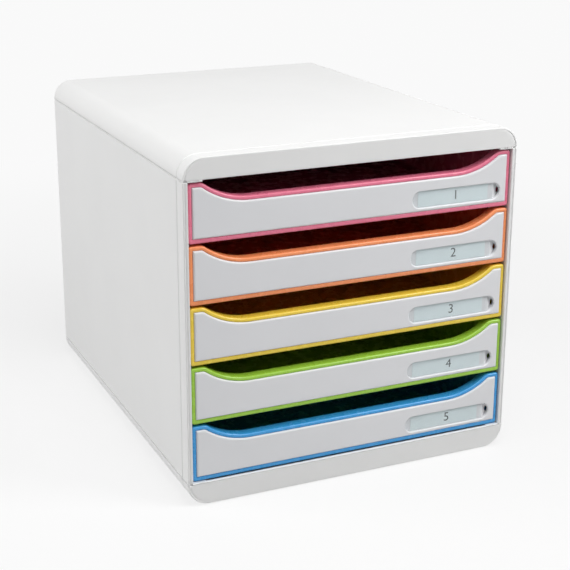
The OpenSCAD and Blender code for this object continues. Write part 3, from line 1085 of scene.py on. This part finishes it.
@dataclass(frozen=True)
class LabelPocket:
    """Pill-shaped pocket in a facing plate, with its window, card, finger scoop and notch."""

    length: float = 78.0
    height: float = 13.0
    x: float = 86.6
    z: float = 13.2
    face_y: float = 1.2
    mouth_r: float = 1.0
    window_y: float = 1.8
    card_y: float = 3.0
    card_front: float = 3.06
    card_h: float = 12.2
    floor_y: float = 3.3
    card_start: float = 5.6
    card_gap: float = 4.0
    seat_gap: float = 0.02
    scoop_l: float = 6.0
    scoop_end: float = 1.0
    scoop_y: float = 4.8
    notch_r: float = 3.4
    notch_out: float = 1.8
    notch_y: float = 2.6
    undercut: float = 1.2
    boss_y: float = 5.8
    boss_rim: float = 2.0

    @property
    def window_end(self) -> float:
        """Right end of the window, from the pocket's centre."""
        return self.length / 2 - self.scoop_l

    @property
    def flat(self) -> float:
        """Half length of the straight part of the pocket's outline."""
        return (self.length - self.height) / 2

    @property
    def notch_x(self) -> float:
        """Centre of the round notch, a little beyond the pocket's end."""
        return self.length / 2 + self.notch_out

    @property
    def notch_tip(self) -> float:
        """Place where the notch's arc crosses the round end: the two circles' common chord."""
        r, gap = self.height / 2, self.notch_x - self.flat
        return self.flat + (gap * gap + r * r - self.notch_r**2) / (2 * gap)

    def half_height(self, x: np.ndarray) -> np.ndarray:
        """Half height of the pill at x, by Pythagoras in its round ends."""
        past = np.clip(np.abs(x) - self.flat, 0, self.height / 2)
        return np.sqrt(np.clip((self.height / 2) ** 2 - past * past, 0, None))

    def round_columns(self, start: float, end: float, steps: int) -> np.ndarray:
        """Places in the right round end, evenly spaced in its angle.

        Args:
            start: The first place.
            end: The last place.
            steps: Number of steps between the two.

        Returns:
            The places, from the pocket's centre.
        """
        r = self.height / 2
        low, high = (math.asin((x - self.flat) / r) for x in (start, end))
        return self.flat + r * np.sin(np.linspace(low, high, steps + 1))

    def left_columns(self) -> np.ndarray:
        """Places across the pocket up to the notch, close together at the round ends.

        Returns:
            The places, from the pocket's centre.
        """
        return np.concatenate([
            -self.round_columns(self.flat, self.length / 2, 14)[::-1],
            np.linspace(-self.flat, self.flat, 25)[1:-1],
            self.round_columns(self.flat, self.notch_x - self.notch_r, 5),
        ])

    def notch_columns(self) -> tuple[np.ndarray, np.ndarray]:
        """Places from the notch's start to its tips, and its arc's half height there."""
        turn = np.linspace(0, math.acos((self.notch_x - self.notch_tip) / self.notch_r), 9)
        return self.notch_x - self.notch_r * np.cos(turn), self.notch_r * np.sin(turn)

    def columns(self) -> np.ndarray:
        """Places across the whole pocket."""
        end = self.round_columns(self.notch_tip, self.length / 2, 8)
        return np.concatenate([self.left_columns(), self.notch_columns()[0][1:], end[1:]])

    def floor_depth(self, x: np.ndarray) -> np.ndarray:
        """Depth of the pocket's floor: level under the card, then half a cosine wave down."""
        t = np.clip((x - self.window_end) / (self.scoop_l - self.scoop_end), 0, 1)
        return self.floor_y + (self.scoop_y - self.floor_y) * (1 - np.cos(np.pi * t)) / 2

    def ring(self, grow: float, y: float) -> np.ndarray:
        """The pocket's outline in place, grown by scaling its height and its round ends.

        Args:
            grow: Distance by which the outline is grown.
            y: Depth at which it is set up.

        Returns:
            The points of the ring.
        """
        x = self.columns()
        h, scale = self.half_height(x), 1 + grow * 2 / self.height
        u = np.where(np.abs(x) > self.flat, x * scale - np.sign(x) * self.flat * (scale - 1), x)
        upper = np.stack([u, h * scale], axis=1)
        lower = np.stack([u, -h * scale], axis=1)[::-1][1:-1]
        return at_y(np.concatenate([upper, lower]) + (self.x, self.z), y)

    def floor_strip(self, x: np.ndarray, low: np.ndarray, high: np.ndarray, rows: int) -> np.ndarray:
        """Grid of the pocket's floor: rows evenly spaced between two heights at each place.

        Args:
            x: Places across the pocket.
            low: Lower end of the strip at each place.
            high: Upper end of the strip at each place.
            rows: Number of rows.

        Returns:
            The grid of points.
        """
        v = np.linspace(0, 1, rows)[:, None]
        return np.stack([
            np.broadcast_to(x + self.x, (rows, len(x))),
            np.broadcast_to(self.floor_depth(x), (rows, len(x))),
            low + v * (high - low) + self.z,
        ], axis=-1)

    def hollow(self, shell: Shell, back_y: float) -> Shell:
        """Adds the pocket and its boss behind the plate.

        The mouth is rounded and the floor falls away in the scoop. Inside the notch's arc
        there is no floor, and the wall behind the notch is cut back by half an ellipse.

        Args:
            shell: The plate's shell, open at the pocket's mouth and round the boss.
            back_y: Depth of the plate's back.

        Returns:
            The closed shell.
        """
        mouth = [self.ring(inset, self.face_y + depth) for inset, depth in rounding(self.mouth_r, 7)]
        foot = self.ring(0.0, self.notch_y)
        near = foot[:, 0] - self.x < self.notch_tip + MM
        foot[near, 1] = self.floor_depth(foot[near, 0] - self.x)
        shell.grid(np.stack([*mouth, foot]), wrap=True)
        left, (x, gap) = self.left_columns(), self.notch_columns()
        h = self.half_height(left)
        shell.grid(self.floor_strip(left, -h, h, 9))
        h = self.half_height(x)
        upper, lower = self.floor_strip(x, gap, h, 5), self.floor_strip(x, -h, -gap, 5)
        shell.grid(upper).grid(lower)
        edge = np.concatenate([lower[-1, ::-1], upper[0, 1:]])
        deep = at_y(edge[:, ::2], self.boss_y)
        shell.grid(np.stack([edge, deep]))
        beyond = foot[~near]
        back = beyond.copy()
        rise = (back[:, 2] - self.z) / (edge[-1, 2] - self.z)
        back[:, 0] += self.undercut * np.sqrt(1 - rise * rise)
        end = at_y(back[:, ::2], self.boss_y)
        shell.grid(np.stack([beyond, back, end]))
        for tip, side in ((0, -1), (-1, 0)):
            shell.face(np.stack([edge[tip], beyond[side], back[side], end[side], deep[tip]]))
        lens = np.concatenate([end, deep])
        off = lens - lens.mean(axis=0)
        lens = lens[np.argsort(np.arctan2(off[:, 2], off[:, 0]))]
        outer = [self.ring(self.boss_rim, y) for y in (back_y, self.boss_y)]
        return shell.grid(np.stack(outer), wrap=True).face_with_hole(outer[-1], lens)

    def window(self) -> Shell:
        """The clear window: the pocket's outline less its clearance, cut straight at the scoop.

        Returns:
            The window's shell.
        """
        outline = pill(self.length - TOWER.clearance, self.height - TOWER.clearance)
        outline[:, 0] = np.minimum(outline[:, 0], self.window_end)
        return Shell().slab(Y, outline + (self.x, self.z), self.window_y, self.card_y - self.seat_gap)

    def card(self) -> Shell:
        """The card behind the window.

        Returns:
            The card's shell.
        """
        x0, x1 = self.x + self.card_start - self.length / 2, self.x + self.window_end - self.card_gap
        low = (x0, self.card_front, self.z - self.card_h / 2)
        return Shell().block(low, (x1, self.floor_y - self.seat_gap, self.z + self.card_h / 2))


@dataclass(frozen=True)
class Tub:
    """The tray behind a drawer's front: walls with slide flanges, floor, ribs and stop tabs."""

    start: float = 9.6
    end: float = 336.0
    half_w: float = 127.4
    draft: float = 0.6
    floor_z: float = 2.4
    wall: float = 1.8
    bottom_r: float = 3.0
    slide_t: float = 1.6
    slide_x: float = 134.6
    slide_inset: float = -2.0
    slide_root: float = 0.03
    fillet: float = 0.5
    slide_edge: float = 0.3
    top_edge: float = 0.4
    rim_cut: float = 0.13
    corner_r: float = 6.8
    corner_least: float = 1.2
    corner_cut: float = 5.6
    corner_steps: int = 10
    rib_x: tuple[float, ...] = (-84.0, -42.0, 0.0, 42.0, 84.0)
    rib_y: tuple[float, ...] = (90.0, 170.0, 250.0)
    rib_t: float = 1.4
    rib_z: float = 0.6
    rib_end: float = 12.0
    cross_rib_x: float = 110.0
    tab_x: float = 127.6
    tab_t: float = 2.3
    tab_y: float = 290.0
    tab_rise: float = 2.7
    tab_flat: float = 2.0
    tab_l: float = 9.0

    @property
    def top(self) -> float:
        """Height of the slide flange's top."""
        return TOWER.slide_z + self.slide_t

    def profile(self) -> np.ndarray:
        """Section of the wall, from the floor's underside over the slide flange to its top.

        Returns:
            One row of inset and height for each point.
        """
        t, f, e, q, cut = self.wall, self.fillet, self.slide_edge, self.top_edge, self.rim_cut
        near, out, slide, top = self.slide_root, self.half_w - self.slide_x, TOWER.slide_z, self.top
        outside = rounding(self.bottom_r) + (self.draft, self.floor_z)
        flange = np.array([
            (near, slide - f), (near - f, slide), (out + e, slide), (out, slide + e), (out, top - q),
            (out + q, top), (t - f, top), (t - cut, top - cut), (t, top - f),
        ])
        return np.concatenate([outside, flange, (outside + t)[::-1]])

    def walls(self) -> Shell:
        """The wall's section carried along a U in plan, with the floor and the front ends.

        A point of the path moves in with the section's inset, and the rear corners are arcs
        whose radius shrinks by that inset, or a straight cut across the slide flange.

        Returns:
            The closed shell.
        """
        rings = []
        for inset, z in self.profile():
            x, end = self.half_w - inset, self.end - max(inset, self.slide_inset)
            r = max(self.corner_r - max(inset, 0.0), self.corner_least)
            corner = arc(x - r, end - r, r, 0, 90, self.corner_steps)
            if inset < self.slide_inset:
                cut = (x, end - self.corner_cut), (x - self.corner_cut, end)
                corner = np.linspace(*cut, self.corner_steps + 1)
            half = np.concatenate([[(x, self.start)], corner])
            rings.append(at_z(np.concatenate([half, half[::-1] * (-1, 1)]), z))
        grid = np.stack(rings)
        shell = Shell().grid(grid).face(rings[0]).face(rings[-1])
        return shell.face(np.concatenate([grid[:, 0], grid[::-1, -1]]))

    def details(self) -> Shell:
        """Ribs under the floor and the stop tabs.

        Returns:
            Their shell.
        """
        shell, half, low, high = Shell(), self.rib_t / 2, self.rib_z, self.floor_z + self.fillet
        for x in self.rib_x:
            shell.block((x - half, self.start, low), (x + half, self.end - self.rib_end, high))
        for y in self.rib_y:
            shell.block((-self.cross_rib_x, y - half, low), (self.cross_rib_x, y + half, high))
        foot, peak, y = self.top - self.fillet, self.top + self.tab_rise, self.tab_y
        tab = np.array([(y, foot), (y, peak), (y + self.tab_flat, peak), (y + self.tab_l, foot)])
        for x in (self.tab_x, -self.tab_x - self.tab_t):
            shell.slab(X, tab, x, x + self.tab_t)
        return shell


@dataclass
class Drawer:
    """One drawer: the coloured moulding, its facing plate and the label."""

    number: int
    colour: DrawerColour
    shape: FrontShape = FrontShape()
    pocket: LabelPocket = LabelPocket()
    tub: Tub = Tub()
    frame_y: float = 2.0
    roll_r: float = 1.4
    seat_y: float = 3.4
    front_wall: float = 1.8
    inner_y: float = 8.7
    lip_y: float = 10.5
    rear_r: float = 0.5
    rim: float = 3.0
    rim_bottom: float = 3.6
    rim_in_r: float = 0.8
    plate_gap: float = 0.1
    plate_back: float = 3.38
    plate_edge_w: float = 1.7
    plate_edge_d: float = 1.2
    web_x: tuple[float, ...] = (-96.0, -48.0, 0.0, 40.0)
    web_t: float = 1.6
    web_z: tuple[float, float] = (0.8, 30.0)
    detail_r: float = 0.2
    window_r: float = 0.12
    numeral_h: float = 10.6
    ink_t: float = 0.01
    ink_gap: float = 0.005

    @property
    def body(self) -> str:
        """The CAD body that the drawer's pieces ride on."""
        return f"drawer_{self.number}"

    def front(self) -> Shell:
        """The coloured front: seat for the plate, beaded frame, lip and the hollow between walls.

        Rings of the front outline are carried from the seat over the bead and along the lip to
        the rear. Between the two walls the bottom is open, and the label pocket's boss has a
        hole through the front wall.

        Returns:
            The closed shell.
        """
        shape, extra = self.shape, self.rim_bottom - self.rim
        back = self.seat_y + self.front_wall
        bead = (self.rim, self.frame_y) - rounding(self.rim_in_r, 6)[::-1] * (1, -1)
        seat = np.concatenate([[(self.rim, self.seat_y)], bead])
        rings = shape.rings(seat, extra) + shape.rings(rounding(self.roll_r, 10) + (0, self.frame_y))
        walls = shape.rings(np.array([(0, back), (0, self.inner_y)]))
        rear = shape.rings(rounding(self.rear_r, 4)[::-1] * (1, -1) + (0, self.lip_y))
        hole = [self.pocket.ring(self.pocket.boss_rim + TOWER.clearance, y) for y in (self.seat_y, back)]
        mouth = shape.outline(self.front_wall, 0.0)
        mouth[[0, -1]] = shape.outline(0, 0)[[0, -1]]
        shell = Shell().grid(np.stack([*rings, walls[0]]), wrap=True).grid(np.stack(walls))
        shell.grid(np.stack([walls[1], *rear]), wrap=True).face(rear[-1])
        shell.face_with_hole(rings[0], hole[0]).grid(np.stack(hole), wrap=True)
        shell.grid(np.stack([at_y(mouth, back), at_y(mouth, self.inner_y)]))
        return shell.face_with_hole(at_y(mouth, back), hole[1]).face(at_y(mouth, self.inner_y))

    def details(self) -> Shell:
        """The tub's ribs and tabs, and the webs between the front's two walls.

        Returns:
            Their shell.
        """
        shell, root = self.tub.details(), self.tub.fillet
        for x in self.web_x:
            low = (x - self.web_t / 2, self.seat_y + 2 * root, self.web_z[0])
            shell.block(low, (x + self.web_t / 2, self.inner_y + root, self.web_z[1]))
        return shell

    def plate(self) -> Shell:
        """The facing plate: a flat face with the label pocket in it, and an edge that falls away.

        The edge is a quarter of an ellipse, wider than it is deep.

        Returns:
            The closed shell.
        """
        shape, pocket, d0 = self.shape, self.pocket, self.rim + self.plate_gap
        extra = self.rim_bottom - self.rim
        edge = rounding(1.0, 10) * (self.plate_edge_w, self.plate_edge_d) + (d0, pocket.face_y)
        rings = shape.rings(np.concatenate([edge, [(d0, self.plate_back)]]), extra)
        shell = Shell().grid(np.stack(rings), wrap=True)
        shell.face_with_hole(rings[-1], pocket.ring(pocket.boss_rim, self.plate_back))
        shell.face_with_hole(rings[0], pocket.ring(pocket.mouth_r, pocket.face_y))
        return pocket.hollow(shell, self.plate_back)

    def numeral(self, ink: Coat, lift: float) -> None:
        """Prints the drawer's number on its card, as a thin raised layer.

        Args:
            ink: The ink's coat.
            lift: Height of the drawer's bottom edge.
        """
        curve = bpy.data.curves.new("numeral", "FONT")
        curve.body = str(self.number)
        curve.size, curve.extrude = self.numeral_h * MM, self.ink_t * MM
        curve.align_x, curve.align_y = "CENTER", "CENTER"
        source = put("numeral source", curve)
        bpy.context.view_layer.update()
        drawn = source.evaluated_get(bpy.context.evaluated_depsgraph_get())
        mesh = bpy.data.meshes.new_from_object(drawn)
        bpy.data.objects.remove(source)
        y = self.pocket.card_front - self.ink_gap - TOWER.depth / 2
        place = Vector((self.pocket.x, y, self.pocket.z + lift)) * MM
        mesh.transform(Matrix.Translation(place) @ Matrix.Rotation(math.pi / 2, 4, "X"))
        mesh.materials.clear()
        mesh.materials.append(ink.material)
        piece = put(f"label_numeral_{self.number}", mesh)
        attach(piece, self.body)

    def make(self, finishes: Finishes) -> None:
        """Builds and dresses the drawer's pieces.

        Args:
            finishes: The tower's coats.
        """
        n, lift, coat = self.number, TOWER.drawer_z(self.number), finishes.trays[self.colour]
        parts = (
            ("tray_front", self.front(), coat, 0.0, "drawer_tray"),
            ("tray_tub", self.tub.walls(), coat, 0.0, ""),
            ("tray_details", self.details(), coat, self.detail_r, ""),
            ("facing", self.plate(), finishes.plate, 0.0, "front_plate"),
            ("window", self.pocket.window(), finishes.window, self.window_r, "label_window"),
            ("card", self.pocket.card(), finishes.card, 0.0, "label_card"),
        )
        for name, shell, worn, radius, node in parts:
            piece = shell.build(f"{name}_{n}", lift)
            if radius:
                soften(piece, radius)
            dress(piece, worn, self.body, *([f"{node}_{n}"] if node else []))
        self.numeral(finishes.ink, lift)


# ------------------------ studio


@dataclass(frozen=True)
class SoftLight:
    """A square lamp that no camera sees, turned to the tower's middle; metres and watts."""

    name: str
    place: Point
    size: float
    power: float
    target: Point = (0.0, 0.0, 0.13)

    def make(self) -> None:
        """Adds the lamp, turned to its target."""
        data = bpy.data.lights.new(self.name, "AREA")
        data.size, data.energy = self.size, self.power
        lamp = put(self.name, data)
        lamp.location = self.place
        aim = Vector(self.target) - Vector(self.place)
        lamp.rotation_euler = aim.to_track_quat("-Z", "Y").to_euler()
        lamp.visible_camera = False


@dataclass(frozen=True)
class Studio:
    """Camera at the photograph's place, soft lamps, the world and a pale floor.

    The backdrop is what the camera sees of the world, and the ambient light is what the object
    gets from it. Lengths are in metres and angles in degrees.
    """

    camera_place: Point = (-0.44209, -1.01476, 0.48013)
    azimuth: float = -23.4771
    elevation: float = 17.1564
    roll: float = -0.101
    sensor_mm: float = 36.0
    focal_px: float = 1313.48
    centre_px: tuple[float, float] = (264.0, 250.0)
    frame_px: float = 570.0
    backdrop: float = 0.95
    ambient: float = 0.12
    floor_half: float = 6.0
    floor_r: float = 1.1
    floor_lit: Colour = (0.6, 0.6, 0.6)
    floor_seen: Colour = (0.93, 0.93, 0.93)
    floor_glow: float = 0.78
    floor_fade: tuple[float, float] = (0.75, 0.1)
    clip: tuple[float, float] = (0.05, 50.0)
    lamps: tuple[SoftLight, ...] = (
        SoftLight("left_light", (-1.6, 0.2, 1.0), 1.2, 17.6),
        SoftLight("right_light", (0.85, -0.9, 1.1), 0.6, 12.4),
        SoftLight("front_top_light", (-0.1, -0.65, 1.75), 0.8, 12.6),
    )

    def camera(self) -> None:
        """Adds the camera, aimed by its azimuth, elevation and roll.

        The lens is the focal length in pixels times the sensor's width over the picture's, and
        the shift puts the optical centre back in its place.
        """
        data = bpy.data.cameras.new("camera")
        data.sensor_width = self.sensor_mm
        data.lens = self.focal_px * self.sensor_mm / self.frame_px
        data.shift_x = (self.frame_px / 2 - self.centre_px[0]) / self.frame_px
        data.shift_y = (self.centre_px[1] - self.frame_px / 2) / self.frame_px
        data.clip_start, data.clip_end = self.clip
        camera = put("camera", data)
        turns = ((self.azimuth, "Z"), (90 - self.elevation, "X"), (self.roll, "Z"))
        azimuth, tilt, roll = (Matrix.Rotation(math.radians(angle), 4, axis) for angle, axis in turns)
        camera.matrix_world = Matrix.Translation(self.camera_place) @ azimuth @ tilt @ roll
        bpy.context.scene.camera = camera

    def world(self) -> None:
        """Makes even light all round, with a paler backdrop for the rays that show it."""
        sheet = NodeSheet(bpy.data.worlds.new("studio"))
        white = {"Color": (1.0, 1.0, 1.0, 1.0)}
        shades = [
            sheet.add("ShaderNodeBackground", white | {"Strength": strength}).outputs[0]
            for strength in (self.ambient, self.backdrop)
        ]
        bpy.context.scene.world = sheet.finish(sheet.mix(sheet.seen(), *shades))

    def paper(self) -> Material:
        """Matt paper that takes the shadow, fading outwards into the backdrop.

        It sends less light back on the object than it shows to the camera.

        Returns:
            The material.
        """
        sheet = NodeSheet(bpy.data.materials.new("floor paper"))
        seen = sheet.seen()
        colour = sheet.tint(seen, self.floor_lit, self.floor_seen)
        matt = sheet.add("ShaderNodeBsdfDiffuse", {"Color": colour}).outputs[0]
        glow = sheet.add("ShaderNodeEmission", {"Strength": self.backdrop}).outputs[0]
        scale = {"Scale": (1 / self.floor_r,) * 3, "Vector": sheet.place()}
        inner = {"Vector": sheet.add("ShaderNodeMapping", scale).outputs["Vector"]}
        disc = sheet.add("ShaderNodeTexGradient", inner, gradient_type="SPHERICAL").outputs["Fac"]
        start, end = self.floor_fade
        span = {"Value": disc, "From Min": start, "From Max": end, "To Min": self.floor_glow}
        fade = sheet.add("ShaderNodeMapRange", span, interpolation_type="SMOOTHSTEP").outputs["Result"]
        return sheet.finish(sheet.mix(sheet.math("MULTIPLY", fade, seen), matt, glow))

    def floor(self) -> None:
        """Lays the wide floor."""
        half = self.floor_half
        corners = [(-half, -half, 0), (half, -half, 0), (half, half, 0), (-half, half, 0)]
        mesh = bpy.data.meshes.new("floor")
        mesh.from_pydata(corners, [], [(0, 1, 2, 3)])
        mesh.materials.append(self.paper())
        put("floor", mesh)

    def make(self) -> None:
        """Builds the studio."""
        self.camera()
        self.world()
        self.floor()
        for lamp in self.lamps:
            lamp.make()
        bpy.context.scene.view_settings.view_transform = "Standard"


def main() -> None:
    """Builds the studio and every sub-assembly in order."""
    logging.basicConfig(level=logging.INFO, format="%(message)s", stream=sys.stdout)
    Studio().make()
    finishes = Finishes.make()
    Cover("top_cover", TOWER.cover_h, TOWER.cover_z).make(finishes)
    Base("base", TOWER.base_h - TOWER.foot_proud, TOWER.base_h, downward=True).make(finishes)
    for side in ("left", "right"):
        SidePanel(side).make(finishes)
    BackPanel().make(finishes)
    Feet().make(finishes)
    for number, colour in enumerate(DrawerColour, start=1):
        Drawer(number, colour).make(finishes)
    bpy.context.view_layer.update()


if __name__ == "__main__":
    main()
